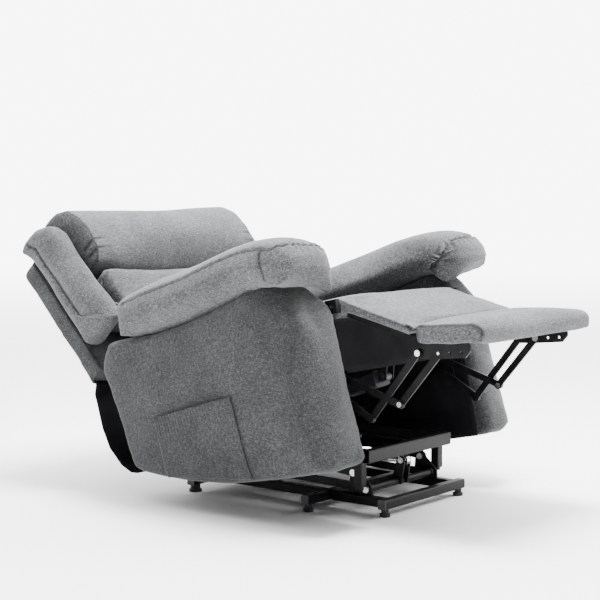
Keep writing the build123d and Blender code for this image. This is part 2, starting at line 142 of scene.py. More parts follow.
def outline_distance(co, segments):
    """Distance in the side plane from each point to the segments, and the unit direction away."""
    best = np.full(len(co), 1e9)
    away = np.zeros((len(co), 2))
    for a, b, normal in segments:
        run = b - a
        t = np.clip(((co[:, 1:] - a) @ run) / (run @ run), 0, 1)
        gap = co[:, 1:] - (a + t[:, None] * run)
        dist = np.linalg.norm(gap, axis=1)
        near = dist < best
        best[near] = dist[near]
        inside = ((gap @ normal < 0) & (dist > 0.004))[:, None]
        unit = np.where(inside, gap / np.maximum(dist, 1e-5)[:, None], -normal)
        away[near] = unit[near]
    return best, away


def remeshed(name, node, voxel):
    """Voxel remesh of a CAD node, keeping each point's first place in the 'rest' attribute."""
    obj = new_object(name, frame["nodes"][node].data.copy())
    mod = obj.modifiers.new("remesh", "REMESH")
    mod.mode = "VOXEL"
    mod.voxel_size = voxel
    bake_modifiers(obj)
    store_rest(obj)
    return obj


def store_rest(obj):
    """Keeps the present vertex places in an attribute that later subdivision carries along."""
    attribute = obj.data.attributes.new("rest", "FLOAT_VECTOR", "POINT")
    attribute.data.foreach_set("vector", coords(obj.data).ravel())


def rest_coords(obj):
    """The kept places."""
    out = np.empty(len(obj.data.vertices) * 3)
    obj.data.attributes["rest"].data.foreach_get("vector", out)
    return out.reshape(-1, 3)


def neighbours_smooth(obj, rounds, factor=0.5):
    """Laplacian smoothing."""
    mesh = obj.data
    edges = np.empty(len(mesh.edges) * 2, int)
    mesh.edges.foreach_get("vertices", edges)
    a, b = edges.reshape(-1, 2).T
    co = coords(mesh)
    count = np.bincount(np.r_[a, b], minlength=len(co)).astype(float)
    for _ in range(rounds):
        total = np.zeros_like(co)
        np.add.at(total, a, co[b])
        np.add.at(total, b, co[a])
        co = co + factor * (total / count[:, None] - co)
    set_coords(mesh, co)


def crown(obj, segments, rise, thick, x_mid, half, power=2.0, one_side=0, side_run=None):
    """Rounds an extruded block over its exposed outline: full height at mid width, rise lower at
    the sides. A pair of rises is for low X and high X. one_side (-1 or +1) rounds only that side,
    over the last side_run of its width."""
    co = coords(obj.data)
    dist, away = outline_distance(co, segments)
    if isinstance(rise, tuple):
        rise = np.where(co[:, 0] < x_mid, rise[0], rise[1])
    if one_side:
        u = np.clip(((co[:, 0] - x_mid) * one_side - (half - side_run)) / side_run, 0, 1)
    else:
        u = np.clip(np.abs(co[:, 0] - x_mid) / half, 0, 1)
    drop = rise * (1 - (1 - u ** power) ** (1 / power))
    weight = np.clip(1 - dist / thick, 0, 1)
    co[:, 1:] += away * (drop * weight)[:, None]
    set_coords(obj.data, co)


def inflate(obj, cap, pressure=4.0, pin=None, frames=13):
    """Cloth inflation with a cap on how far any point may move; pin is 0..1 per vertex."""
    start = coords(obj.data)
    group = obj.vertex_groups.new(name="pin")
    if pin is not None:
        for i in np.nonzero(pin > 0.05)[0]:
            group.add([int(i)], float(pin[i]), "REPLACE")
    mod = obj.modifiers.new("cloth", "CLOTH")
    s = mod.settings
    s.quality = 3
    s.mass = 0.3
    s.tension_stiffness = 12
    s.compression_stiffness = 12
    s.shear_stiffness = 6
    s.bending_stiffness = 0.8
    s.use_pressure = True
    s.uniform_pressure_force = pressure
    s.effector_weights.gravity = 0
    if pin is not None:
        s.vertex_group_mass = "pin"
    mod.collision_settings.use_collision = False
    scene = bpy.context.scene
    for f in range(1, frames + 1):
        scene.frame_set(f)
    moved = coords(obj.evaluated_get(bpy.context.evaluated_depsgraph_get()).data)
    obj.modifiers.remove(mod)
    obj.vertex_groups.clear()
    scene.frame_set(1)
    step = moved - start
    length = np.linalg.norm(step, axis=1)
    step *= (np.minimum(length, cap) / np.maximum(length, 1e-9))[:, None]
    set_coords(obj.data, start + step)


def shrink(obj, amount):
    """Moves every point inwards."""
    set_coords(obj.data, coords(obj.data) - normals(obj.data) * amount)


def subdivide(obj):
    """One applied subdivision."""
    mod = obj.modifiers.new("sub", "SUBSURF")
    mod.levels = mod.render_levels = 1
    bake_modifiers(obj)


def groove(obj, strength, depth):
    """Presses a seam into the surface and keeps its strength for the material, which paints shade along it."""
    set_coords(obj.data, coords(obj.data) - normals(obj.data) * (strength * depth)[:, None])
    attribute = obj.data.attributes.new("seam", "FLOAT", "POINT")
    attribute.data.foreach_set("value", np.clip(strength, 0, 1).astype(np.float32))


def bell(distance, width):
    """Smooth bump that is 1 at no distance."""
    return np.exp(-(distance / width) ** 2)


def ripple(obj, height, scale, stretch=(1, 1, 1), weight=None, seed=0.0):
    """Soft wrinkles along the normals; stretch gives the size along X, Y and Z."""
    co = coords(obj.data)
    shift = Vector((seed, seed * 0.7, -seed))
    value = np.array([noise.noise(Vector((p[0] * scale / stretch[0], p[1] * scale / stretch[1],
                                          p[2] * scale / stretch[2])) + shift) for p in co])
    if weight is not None:
        value = value * weight
    set_coords(obj.data, co + normals(obj.data) * (value * height)[:, None])


def edge_seams(obj, segments, x_edges, width=0.0032):
    """Seam strength along the edges between an extruded outline and its side faces."""
    rest = rest_coords(obj)
    dist, _ = outline_distance(rest, segments)
    strength = np.zeros(len(rest))
    for x_edge in x_edges:
        strength = np.maximum(strength, bell(np.hypot(dist, rest[:, 0] - x_edge), width))
    return strength


def sorted_ring(segments):
    """The outline's corner points in order along it."""
    path = list(segments[0][:2])
    left = [(tuple(a), tuple(b)) for a, b, _ in segments[1:]]
    moved = True
    while moved:
        moved = False
        for a, b in left:
            for first, second in ((a, b), (b, a)):
                if np.allclose(path[-1], first, atol=1e-4):
                    path.append(np.array(second))
                elif np.allclose(path[0], first, atol=1e-4):
                    path.insert(0, np.array(second))
                else:
                    continue
                left.remove((a, b))
                moved = True
                break
            if moved:
                break
    return path


def outline_path(segments, x, start, end):
    """Corner points along an outline at one X, from near one place to near another (back, up)."""
    path = sorted_ring(segments)
    ends = [np.array(frame_point(0, *start)[1:]), np.array(frame_point(0, *end)[1:])]
    picks = [int(np.argmin([np.linalg.norm(q - e) for q in path])) for e in ends]
    low, high = min(picks), max(picks)
    cut = path[low:high + 1]
    if picks[0] > picks[1]:
        cut = cut[::-1]
    return [np.array((x, *q)) for q in cut]


def dense_path(points, step=0.003):
    """Points every step along a polyline."""
    out = []
    for a, b in zip(points, points[1:]):
        a, b = np.array(a), np.array(b)
        n = max(1, int(np.linalg.norm(b - a) / step))
        out += [a + (b - a) * k / n for k in range(n)]
    out.append(np.array(points[-1]))
    return np.array(out)


def path_distance(points, path):
    """Distance from each point to a dense path, and how far along the path its nearest point is."""
    tree = KDTree(len(path))
    for i, q in enumerate(path):
        tree.insert(q, i)
    tree.balance()
    found = [tree.find(q) for q in points]
    step = np.r_[0, np.cumsum(np.linalg.norm(np.diff(path, axis=0), axis=1))]
    return np.array([f[2] for f in found]), np.array([step[f[1]] for f in found])


def gathers(obj, path, pitch, height, reach):
    """Small folds square to a sewn line, dying out away from it."""
    dist, along_path = path_distance(rest_coords(obj), path)
    wave = np.sin(along_path / pitch * 2 * math.pi + 1.3 * np.sin(along_path / pitch * 1.7))
    height_here = height * wave * bell(dist - reach * 0.35, reach * 0.55)
    set_coords(obj.data, coords(obj.data) + normals(obj.data) * height_here[:, None])


def tube_object(name, lines, body, radius):
    """Closed thin tubes along lines of points, in thread."""
    verts, faces = [], []
    for line in lines:
        for k, point in enumerate(line):
            run = Vector(line[min(k + 1, len(line) - 1)] - line[max(k - 1, 0)]).normalized()
            side = run.orthogonal().normalized()
            other = run.cross(side)
            base = len(verts)
            for m in range(6):
                turn = m * math.pi / 3
                verts.append(tuple(Vector(point) + side * (radius * math.cos(turn))
                                   + other * (radius * math.sin(turn))))
            if k:
                shift = best_turn(verts, base)
                for m in range(6):
                    n = (m + 1) % 6
                    faces.append((base - 6 + (m + shift) % 6, base - 6 + (n + shift) % 6,
                                  base + n, base + m))
            if k in (0, len(line) - 1):
                ring = tuple(range(base, base + 6))
                faces.append(ring[::-1] if k == 0 else ring)
    mesh = bpy.data.meshes.new(name)
    mesh.from_pydata(verts, [], faces)
    mesh.update()
    work = bmesh.new()
    work.from_mesh(mesh)
    bmesh.ops.recalc_face_normals(work, faces=work.faces)
    work.to_mesh(mesh)
    work.free()
    thread = new_object(name, mesh)
    mesh.materials.append(THREAD)
    shade_smooth(thread)
    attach(thread, body)
    return thread


def best_turn(verts, base):
    """Which point of the ring before lies nearest the first point of this ring."""
    first = Vector(verts[base])
    return min(range(6), key=lambda m: (Vector(verts[base - 6 + m]) - first).length)


def seam_thread(name, obj, paths, body, radius=0.0010):
    """Thin dark thread lying in sewn lines on the finished surface."""
    rest = rest_coords(obj)
    tree = KDTree(len(rest))
    for i, q in enumerate(rest):
        tree.insert(q, i)
    tree.balance()
    final, normal = coords(obj.data), normals(obj.data)
    lines = []
    for path in paths:
        line = []
        for q in path[::2]:
            near = tree.find_n(q, 6)
            line.append(np.mean([final[i] + normal[i] * 0.0002 for _, i, _ in near], axis=0))
        line = np.array(line)
        for _ in range(8):
            line[1:-1] = (line[:-2] + 2 * line[1:-1] + line[2:]) / 4
        lines.append(line)
    return tube_object(name, lines, body, radius)


# ---------------------------------------------------------------- materials
def nodes_of(name):
    """New node material with its shader."""
    material = bpy.data.materials.new(name)
    material.use_nodes = True
    tree = material.node_tree
    return material, tree, tree.nodes["Principled BSDF"]


def noise_node(tree, scale, stretch=(1, 1, 1), detail=2.0, rough=0.5):
    """Noise in object space, stretched along the axes."""
    place = tree.nodes.new("ShaderNodeTexCoord")
    mapping = tree.nodes.new("ShaderNodeMapping")
    mapping.inputs["Scale"].default_value = stretch
    texture = tree.nodes.new("ShaderNodeTexNoise")
    texture.inputs["Scale"].default_value = scale
    texture.inputs["Detail"].default_value = detail
    texture.inputs["Roughness"].default_value = rough
    tree.links.new(place.outputs["Object"], mapping.inputs["Vector"])
    tree.links.new(mapping.outputs["Vector"], texture.inputs["Vector"])
    return texture.outputs["Fac"]


def math_node(tree, operation, a, b=None):
    """Math on sockets or numbers."""
    node = tree.nodes.new("ShaderNodeMath")
    node.operation = operation
    for i, value in enumerate((a, b)):
        if value is None:
            continue
        if isinstance(value, (int, float)):
            node.inputs[i].default_value = value
        else:
            tree.links.new(value, node.inputs[i])
    return node.outputs[0]


def ramp_node(tree, value, stops):
    """Colour ramp."""
    node = tree.nodes.new("ShaderNodeValToRGB")
    ramp = node.color_ramp
    while len(ramp.elements) < len(stops):
        ramp.elements.new(0.5)
    for element, (at, colour) in zip(ramp.elements, stops):
        element.position = at
        element.color = (*colour, 1)
    tree.links.new(value, node.inputs["Fac"])
    return node.outputs["Color"]


def base_colour(tree, shader, value, stops):
    """Colour ramp into the shader's base colour."""
    tree.links.new(ramp_node(tree, value, stops), shader.inputs["Base Color"])


def bump_node(tree, shader, height, strength, distance):
    """Bump into the shader's normal."""
    node = tree.nodes.new("ShaderNodeBump")
    node.inputs["Strength"].default_value = strength
    node.inputs["Distance"].default_value = distance
    tree.links.new(height, node.inputs["Height"])
    tree.links.new(node.outputs["Normal"], shader.inputs["Normal"])


def chenille(name, dark, mid, light):
    """Mottled chenille weave with short slubs in both thread directions, and painted shade along the seams."""
    material, tree, shader = nodes_of(name)
    grain = noise_node(tree, 330, (1, 1, 1), 3.0, 0.7)
    weft = noise_node(tree, 200, (0.5, 0.5, 3.0), 2.0, 0.6)
    warp = noise_node(tree, 200, (3.0, 0.9, 0.5), 2.0, 0.6)
    cloud = noise_node(tree, 9, (1, 1, 1), 3.0, 0.5)
    threads = math_node(tree, "ADD", math_node(tree, "MULTIPLY", weft, 0.36),
                        math_node(tree, "MULTIPLY", warp, 0.26))
    mixed = math_node(tree, "ADD", threads, math_node(tree, "MULTIPLY", grain, 0.38))
    mottled = math_node(tree, "ADD", mixed, math_node(tree, "MULTIPLY",
                                                    math_node(tree, "SUBTRACT", cloud, 0.5), 0.12))
    # Painted shade: the fabric colour is darkened along the pressed seams and tucks.
    seam = tree.nodes.new("ShaderNodeAttribute")
    seam.attribute_name = "seam"
    with_painted_seam_shade = math_node(tree, "SUBTRACT", mottled, math_node(tree, "MULTIPLY", seam.outputs["Fac"], 0.22))
    base_colour(tree, shader, with_painted_seam_shade, ((0.36, dark), (0.50, mid), (0.64, light)))
    bump_node(tree, shader, mixed, 0.75, 0.0022)
    shader.inputs["Roughness"].default_value = 0.92
    shader.inputs["Sheen Weight"].default_value = 0.12
    shader.inputs["Sheen Roughness"].default_value = 0.45
    shader.inputs["Specular IOR Level"].default_value = 0.2
    return material


def lining(name, colour):
    """Thin black woven lining."""
    material, tree, shader = nodes_of(name)
    weave = noise_node(tree, 700, (1, 1, 1), 2.0, 0.6)
    folds = noise_node(tree, 14, (1, 1, 1), 2.0, 0.5)
    value = math_node(tree, "ADD", math_node(tree, "MULTIPLY", weave, 0.6),
                      math_node(tree, "MULTIPLY", folds, 0.4))
    lighter = tuple(min(1.0, c * 2.2 + 0.004) for c in colour)
    base_colour(tree, shader, value, ((0.35, colour), (0.7, lighter)))
    bump_node(tree, shader, value, 0.5, 0.0008)
    shader.inputs["Roughness"].default_value = 0.95
    shader.inputs["Specular IOR Level"].default_value = 0.08
    return material


def metal(name, colour, metallic, rough, spread, bump=0.15, coat=0.0):
    """Painted or plated steel with a fine texture and slightly uneven polish."""
    material, tree, shader = nodes_of(name)
    fine = noise_node(tree, 900, (1, 1, 1), 2.0, 0.5)
    broad = noise_node(tree, 22, (1, 1, 1), 3.0, 0.6)
    lighter = tuple(min(1.0, c * 1.35 + 0.006) for c in colour)
    base_colour(tree, shader, broad, ((0.4, colour), (0.75, lighter)))
    uneven = math_node(tree, "MULTIPLY", broad, spread)
    tree.links.new(math_node(tree, "ADD", uneven, rough - spread / 2), shader.inputs["Roughness"])
    bump_node(tree, shader, fine, bump, 0.0003)
    shader.inputs["Metallic"].default_value = metallic
    shader.inputs["Coat Weight"].default_value = coat
    shader.inputs["Specular IOR Level"].default_value = 0.5 if metallic else 0.10
    return material


def plastic(name, colour, rough):
    """Moulded plastic with a fine spark texture."""
    material, tree, shader = nodes_of(name)
    spark = noise_node(tree, 1400, (1, 1, 1), 1.0, 0.5)
    broad = noise_node(tree, 30, (1, 1, 1), 2.0, 0.5)
    lighter = tuple(c * 1.4 + 0.004 for c in colour)
    base_colour(tree, shader, broad, ((0.35, colour), (0.7, lighter)))
    bump_node(tree, shader, spark, 0.25, 0.0002)
    shader.inputs["Roughness"].default_value = rough
    return material


def wood(name, dark, light):
    """Plywood board with long grain."""
    material, tree, shader = nodes_of(name)
    grain = noise_node(tree, 30, (0.25, 3.0, 3.0), 6.0, 0.65)
    pores = noise_node(tree, 500, (0.2, 1.0, 1.0), 2.0, 0.5)
    value = math_node(tree, "ADD", math_node(tree, "MULTIPLY", grain, 0.75),
                      math_node(tree, "MULTIPLY", pores, 0.25))
    base_colour(tree, shader, value, ((0.35, dark), (0.65, light)))
    bump_node(tree, shader, value, 0.3, 0.0005)
    shader.inputs["Roughness"].default_value = 0.85
    shader.inputs["Specular IOR Level"].default_value = 0.08
    return material


# One chenille in two copies with painted light: the lighter copy goes on tops and faces toward the lamps, the
# darker copy paints shade on sides that face away from them.
PAINTED_LIT_FABRIC = chenille("chenille_painted_lit", (0.023, 0.024, 0.026), (0.066, 0.069, 0.071),
                      (0.172, 0.176, 0.178))
PAINTED_SHADE_FABRIC = chenille("chenille_painted_shade", (0.011, 0.0115, 0.012), (0.030, 0.0315, 0.033),
                       (0.080, 0.083, 0.085))
THREAD = plastic("sewing_thread", (0.035, 0.036, 0.038), 0.8)
BLACK_CLOTH = lining("black_lining", (0.003, 0.003, 0.004))
BLACK_STEEL = metal("black_powder_coat", (0.004, 0.004, 0.0045), 0.0, 0.42, 0.18, 0.2, 0.0)
ZINC = metal("zinc_plate", (0.62, 0.62, 0.60), 1.0, 0.32, 0.15, 0.1)
CHROME = metal("polished_rod", (0.78, 0.78, 0.79), 1.0, 0.12, 0.06, 0.04)
BLACK_PLASTIC = plastic("black_plastic", (0.015, 0.015, 0.017), 0.48)
RUBBER = plastic("foot_rubber", (0.012, 0.012, 0.012), 0.75)
BLACK_WOOD = wood("black_stained_wood", (0.004, 0.004, 0.004), (0.012, 0.011, 0.010))

SLOT_MATERIALS = {
    "painted_steel": BLACK_STEEL,
    "bright_steel": ZINC,
    "rod_steel": CHROME,
    "black_plastic": BLACK_PLASTIC,
    "foot_rubber": RUBBER,
    "frame_wood": BLACK_WOOD,
    # light_fabric takes the lighter, painted-lit copy of the chenille and side_fabric the darker copy with painted
    # shade.
    "light_fabric": PAINTED_LIT_FABRIC,
    "side_fabric": PAINTED_SHADE_FABRIC,
    "black_cloth": BLACK_CLOTH,
}
for part in frame["record"]["subparts"]:
    cad = frame["nodes"][part["node"]]
    cad.data.materials.clear()
    cad.data.materials.append(SLOT_MATERIALS[part["material_slot"]])


def finish_piece(obj, material, body, replaced=()):
    """Material, smooth shading and body for one soft piece; hides the CAD parts it replaces."""
    obj.data.materials.clear()
    obj.data.materials.append(material)
    shade_smooth(obj)
    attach(obj, body)
    if replaced:
        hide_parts(*replaced)
    return obj


# ---------------------------------------------------------------- arm pads
def not_under(normal):
    """True for outline faces that don't look down in the seat's frame."""
    return Vector(normal).dot(UP) > -0.55 and Vector(normal).dot(REARWARD) < 0.8


def make_arm_pad(side_name, sign):
    """Padded arm top: a crowned panel sewn to flat boxing on the outer side, round on the inner
    side, with a gathered cap over the nose."""
    node = f"{side_name}_arm_pad"
    low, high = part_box(node)
    x_mid, half = (low.x + high.x) / 2, (high.x - low.x) / 2
    outer, inner = x_mid + sign * half, x_mid - sign * half
    segments = outline_segments(node, not_under)
    obj = remeshed(f"{side_name}_arm_pad_cover", node, 0.0065)
    crown(obj, segments, (0.040, 0.058) if sign < 0 else (0.058, 0.040), 0.13, x_mid, half, 2.3)
    co = coords(obj.data)
    back, up = side_coords(co)
    outward = np.clip((co[:, 0] - inner) / (outer - inner), 0, 1)
    lift = 0.034 * outward * np.clip((0.03 - back) / 0.06, 0, 1) * np.clip((0.665 - up) / 0.05, 0, 1)
    set_coords(obj.data, co + np.array(UP) * lift[:, None])
    neighbours_smooth(obj, 6)
    shrink(obj, 0.006)
    top = outline_path(segments, outer, (0.55, 0.70), (-0.016, 0.746))
    nose_point = frame_point(inner + sign * 0.032, -0.052, 0.724)
    top_path = dense_path(top + [frame_point(outer - sign * 0.035, -0.034, 0.735),
                                 frame_point(x_mid, -0.052, 0.724), nose_point])
    cap_path = dense_path([frame_point(outer, 0.022, 0.640), frame_point(outer, 0.022, 0.757)])
    inner_path = dense_path([frame_point(inner, 0.014, 0.626), frame_point(inner, -0.010, 0.680),
                             frame_point(inner, -0.032, 0.714), nose_point])
    rest = rest_coords(obj)
    pin = np.zeros(len(rest))
    for path in (top_path, inner_path):
        pin = np.maximum(pin, bell(path_distance(rest, path)[0], 0.009))
    inflate(obj, 0.011, 4.0, pin)
    neighbours_smooth(obj, 2)
    subdivide(obj)
    rest = rest_coords(obj)
    seam = np.zeros(len(rest))
    for path, strength in ((top_path, 1.0), (cap_path, 0.8), (inner_path, 0.8)):
        seam = np.maximum(seam, strength * bell(path_distance(rest, path)[0], 0.0042))
    ripple(obj, 0.004, 8, (1, 1.4, 1.4), None, 3.0 * sign)
    gathers(obj, inner_path, 0.017, 0.0028, 0.030)
    gathers(obj, top_path[-60:], 0.022, 0.0016, 0.024)
    gathers(obj, top_path, 0.031, 0.0006, 0.020)
    groove(obj, seam, 0.0042)
    finish_piece(obj, PAINTED_LIT_FABRIC, "chair_body", (node,))
    seam_thread(f"{side_name}_arm_pad_seam", obj, (top_path, cap_path, inner_path), "chair_body")
    return obj


# ---------------------------------------------------------------- arm boxes
def arm_front(normal):
    """Front faces of an arm box."""
    return Vector(normal).dot(REARWARD) < -0.6


def any_face(_normal):
    """The whole outline."""
    return True


def make_arm_box(side_name, sign):
    """Upholstered arm side with a broad rounded front corner and padded faces."""
    node = f"{side_name}_arm_panel"
    low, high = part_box(node)
    x_mid, half = (low.x + high.x) / 2, (high.x - low.x) / 2

    front_segments = outline_segments(node, arm_front)
    all_segments = outline_segments(node, any_face)
    obj = remeshed(f"{side_name}_arm_cover", node, 0.010)
    crown(obj, front_segments, 0.075, 0.30, x_mid, half, 2.0, sign, 0.10)
    crown(obj, front_segments, 0.018, 0.10, x_mid, half, 2.0, -sign, 0.03)
    crown(obj, all_segments, 0.012, 0.05, x_mid, half, 2.0, sign, 0.014)
    neighbours_smooth(obj, 6)
    shrink(obj, 0.004)
    rest = rest_coords(obj)
    dist, _ = outline_distance(rest, all_segments)
    inner_face = bell(rest[:, 0] - (x_mid - sign * half), 0.02)
    pin = np.clip(bell(dist, 0.02) + inner_face, 0, 1)
    inflate(obj, 0.010, 3.0, pin)
    neighbours_smooth(obj, 2)
    subdivide(obj)
    dist, _ = outline_distance(rest_coords(obj), all_segments)
    ripple(obj, 0.006, 5, (1, 1.2, 1.2), None, 11.0 * sign)
    ripple(obj, 0.0022, 22, (1, 1.6, 0.8), bell(dist, 0.06), 5.0 * sign)
    co = coords(obj.data)
    inner = x_mid - sign * (half - 0.001)
    co[:, 0] = np.minimum(co[:, 0], inner) if sign < 0 else np.maximum(co[:, 0], inner)
    set_coords(obj.data, co)
    return finish_piece(obj, PAINTED_SHADE_FABRIC, "chair_body", (node,))


for name_of_side, side_sign in (("right", -1), ("left", 1)):
    make_arm_pad(name_of_side, side_sign)
    make_arm_box(name_of_side, side_sign)


# ---------------------------------------------------------------- other cushions
def make_cushion(name, node, body, keep, rise, thick, cap, *, power=2.2, voxel=0.0075,
                 seam_width=0.0055, pin_width=0.012, wave=0.003, pucker=0.003, seed=1.0,
                 material=PAINTED_LIT_FABRIC, extra=None, depth=0.004,
                 start=0.007, thread_x=False, rim=None, x_limit=None, front_limit=None):
    """Generic stuffed piece from its CAD block: crowned, inflated, then sewn at its edges.

    rise, thick and power shape the crown; start shrinks the block before it may swell by cap.
    seam_width and depth press the seams, pin_width holds them during the inflation, wave and
    pucker wrinkle the cloth. extra adds seams, rim shifts the lower edge. x_limit and front_limit
    (with its height) keep the cloth off the frame beside and below it.
    """
    low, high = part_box(node)
    x_mid, half = (low.x + high.x) / 2, (high.x - low.x) / 2
    segments = outline_segments(node, keep)
    obj = remeshed(name, node, voxel)
    crown(obj, segments, rise, thick, x_mid, half, power)
    neighbours_smooth(obj, 4)
    if rim is not None:
        set_coords(obj.data, coords(obj.data) + rim(rest_coords(obj)))
    shrink(obj, start)
    pin = edge_seams(obj, segments, (low.x, high.x), pin_width)
    inflate(obj, cap, 4.0, pin)
    neighbours_smooth(obj, 2)
    subdivide(obj)
    seam = edge_seams(obj, segments, (low.x, high.x), seam_width)
    near = edge_seams(obj, segments, (low.x, high.x), 0.035)
    ripple(obj, wave, 7, (1.6, 1, 1), None, seed)
    ripple(obj, pucker, 34, (1.4, 1, 1), near, seed * 2)
    if extra is not None:
        seam = extra(rest_coords(obj), seam)
    groove(obj, seam if depth > 0 else seam * 0, depth)
    if x_limit is not None:
        co = coords(obj.data)
        co[:, 0] = np.clip(co[:, 0], -x_limit, x_limit)
        if front_limit is not None:
            least_back, below = front_limit
            back, up = side_coords(co)
            short = np.clip(least_back - back, 0, None) * (up < below)
            co += np.array(REARWARD) * short[:, None]
        set_coords(obj.data, co)
    finish_piece(obj, material, body, (node,))
    if thread_x:
        ring = sorted_ring(segments)
        paths = [dense_path([np.array((x_edge, *q)) for q in ring]) for x_edge in (low.x, high.x)]
        seam_thread(f"{name}_seam", obj, paths, body)
    return obj


def seat_top(normal):
    """Top and front of the seat cushion."""
    return Vector(normal).dot(UP) > 0.3 or Vector(normal).dot(REARWARD) < -0.5


def back_front(normal):
    """Everything on a back cushion that doesn't face the shell."""
    return Vector(normal).dot(BACK_REAR) < 0.5


def head_detail(rest, seam):
    """Short tucks above the crease at the head roll's lower front."""
    r, s = side_coords(rest, BACK_REAR, BACK_UP)
    ends = bell(np.abs(rest[:, 0]) - 0.345, 0.035)
    tucks = np.maximum(bell(s - 1.112, 0.004), bell(s - 1.142, 0.004)) * (r < 0.2)
    return np.maximum(seam, 0.8 * tucks * ends)


def make_wing(side_name, sign):
    """Rolled side bolster of the back with one long sewn line down its outer side."""
    node = f"{side_name}_wing"
    low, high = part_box(node)
    x_mid, half = (low.x + high.x) / 2, (high.x - low.x) / 2
    outer = x_mid + sign * half
    segments = outline_segments(node, back_front)
    obj = remeshed(f"{side_name}_wing_cover", node, 0.006)
    crown(obj, segments, (0.034, 0.030) if sign < 0 else (0.030, 0.034), 0.12, x_mid, half, 2.4)
    neighbours_smooth(obj, 8)
    co = coords(obj.data)
    back, up = side_coords(co, BACK_REAR, BACK_UP)
    push = 0.014 * np.clip((1.12 - up) / 0.16, 0, 1) * np.clip((0.30 - back) / 0.08, 0, 1)
    set_coords(obj.data, co - np.array(BACK_REAR) * push[:, None])
    shrink(obj, 0.004)
    path = dense_path([frame_point(outer, 0.262, 0.940, BACK_REAR, BACK_UP),
                       frame_point(outer, 0.262, 1.10, BACK_REAR, BACK_UP),
                       frame_point(outer, 0.272, 1.245, BACK_REAR, BACK_UP),
                       frame_point(outer, 0.296, 1.290, BACK_REAR, BACK_UP)])
    rest = rest_coords(obj)
    inflate(obj, 0.011, 4.0, bell(path_distance(rest, path)[0], 0.010))
    neighbours_smooth(obj, 2)
    subdivide(obj)
    rest = rest_coords(obj)
    ripple(obj, 0.0035, 8, (1, 1.2, 1.2), None, 9.0 + sign)
    gathers(obj, path, 0.024, 0.0009, 0.022)
    groove(obj, bell(path_distance(rest, path)[0], 0.0040), 0.0040)
    finish_piece(obj, PAINTED_LIT_FABRIC, "backrest", (node,))
    seam_thread(f"{side_name}_wing_seam", obj, (path,), "backrest")


make_cushion("seat_cushion_cover", "seat_cushion", "chair_body", seat_top, 0.030, 0.12, 0.012,
             wave=0.005, seed=2.0, x_limit=0.2595, front_limit=(0.0025, 0.556))
make_cushion("lower_back_cover", "lower_back_cushion", "backrest", back_front, 0.030, 0.12, 0.012,
             seed=4.0, x_limit=0.2590)
make_cushion("lumbar_cover", "lumbar_cushion", "backrest", back_front, 0.036, 0.10, 0.014,
             power=7.0, wave=0.005, seed=6.0, depth=0.0, pucker=0.001, pin_width=0.004)
make_cushion("head_roll_cover", "head_roll", "backrest", back_front, 0.006, 0.08, 0.014,
             power=6.0, wave=0.004, pucker=0.002, seed=8.0, extra=head_detail, start=0.005,
             thread_x=True)
for name_of_side, side_sign in (("right", -1), ("left", 1)):
    make_wing(name_of_side, side_sign)
make_cushion("back_shell_cover", "back_shell", "backrest", any_face, 0.012, 0.03, 0.006,
             power=4.0, voxel=0.009, material=PAINTED_SHADE_FABRIC, wave=0.004,
             pucker=0.002, seed=14.0, start=0.004)


crease_joint = next(j for j in frame["joints"] if j["name"] == "footrest_board_swing")
CREASE = Vector(crease_joint["pos_m"])
CALF_ANGLE, FOOT_ANGLE = math.radians(205.0), math.radians(187.5)


def board_axes(angle):
    """Direction along a footrest board and the one square to it."""
    return (REARWARD * math.cos(angle) + UP * math.sin(angle),
            REARWARD * math.sin(angle) - UP * math.cos(angle))


def board_point(angle, distance, offset):
    """Point from the crease along a footrest board, raised square to it."""
    direction, upward = board_axes(angle)
    return CREASE + direction * distance + upward * offset


def rim_over_board(board, angle, with_end, close_gap):
    """Shift that carries a pad's lower rim down over the edge of its board and its inner end
    towards the crease."""
    direction, upward = board_axes(angle)
    plank = coords(frame["nodes"][board].data) - np.array(CREASE)
    reach = (plank @ np.array(direction)).max()
    edge = np.abs(plank[:, 0]).max()

    def shift(rest):
        local = rest - np.array(CREASE)
        height = local @ np.array(upward)
        outside = np.clip((np.abs(rest[:, 0]) - edge - 0.001) / 0.006, 0, 1)
        if with_end:
            past = np.clip((local @ np.array(direction) - reach + 0.002) / 0.006, 0, 1)
            outside = np.maximum(outside, past)
        lower = np.clip(1 - (height - height.min()) / 0.018, 0, 1)
        move = -np.array(upward) * (0.013 * outside * lower)[:, None]
        along_board = local @ np.array(direction)
        if with_end:
            front = np.clip((along_board - reach + 0.020) / 0.016, 0, 1)
            move += np.array(direction) * (0.008 * front)[:, None]
            move -= np.array(upward) * (0.012 * front * lower * (1 - outside))[:, None]
        at_crease = np.clip(1 - np.abs(along_board) / 0.030, 0, 1)
        return move + np.array(direction) * (close_gap * at_crease)[:, None]

    return shift


def calf_top(normal):
    """Every side of the footrest pads but the underside."""
    return Vector(normal).dot(UP) > -0.3


make_cushion("calf_pad_cover", "calf_pad", "calf_panel", calf_top, 0.010, 0.04, 0.010, power=6.0,
             voxel=0.006, seed=16.0, wave=0.004, start=0.002, depth=0.0015, pucker=0.0015,
             rim=rim_over_board("calf_board", CALF_ANGLE, False, 0.006))
make_cushion("footrest_pad_cover", "footrest_pad", "footrest_panel", calf_top, 0.008, 0.04, 0.011,
             power=6.0, voxel=0.006, seed=18.0, wave=0.003, start=0.001, depth=0.0015, pucker=0.0015,
             rim=rim_over_board("footrest_board", FOOT_ANGLE, True, -0.010))


